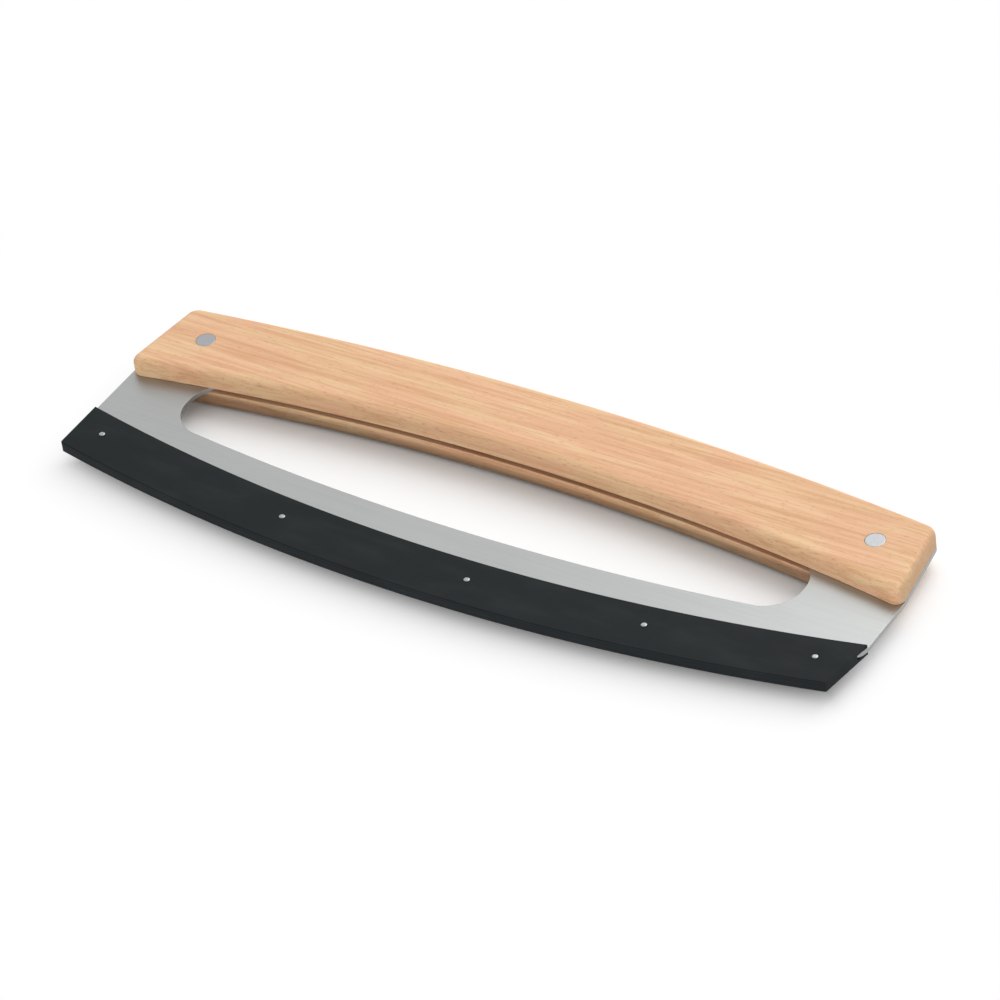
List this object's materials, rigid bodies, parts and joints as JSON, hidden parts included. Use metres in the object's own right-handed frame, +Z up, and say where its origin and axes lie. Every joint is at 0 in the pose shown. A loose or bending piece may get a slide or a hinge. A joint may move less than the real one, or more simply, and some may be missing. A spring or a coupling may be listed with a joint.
{
  "type": "rocking pizza knife",
  "caption": "Long rocking knife with a curved steel blade, a finger opening, an arched two-part wooden handle and a lift-off riveted blade guard.",
  "frame": {"origin": "the point on the table under the middle of the knife's box, as it lies on the flat back of its handle", "axes": "+X along the knife, +Y from the blade's edge to the handle, +Z up off the table; the ends of the handle and the blade stand alike on both sides of X = 0"},
  "size_m": [0.346, 0.1166, 0.018],
  "materials": {
    "steel": "satin, fine lengthwise brushing",
    "beech": "oiled, fine lengthwise grain",
    "rivet": "ground flush, satin",
    "guard": "charcoal black, matte with a fine grain"
  },
  "bodies": {
    "knife": {"blade_plate": "steel", "handle_front_scale": "beech", "handle_back_scale": "beech", "handle_rivet_studs": "rivet", "handle_rivet_sockets": "rivet"},
    "guard": {"guard_front_strip": "guard", "guard_back_strip": "guard", "guard_welt": "guard", "guard_rivets": "rivet"}
  },
  "joints": [
    {"name": "guard_slide", "type": "slide", "parent": "knife", "child": "guard", "axis": [0, -1, 0], "range_m": [0, 0.03]}
  ]
}
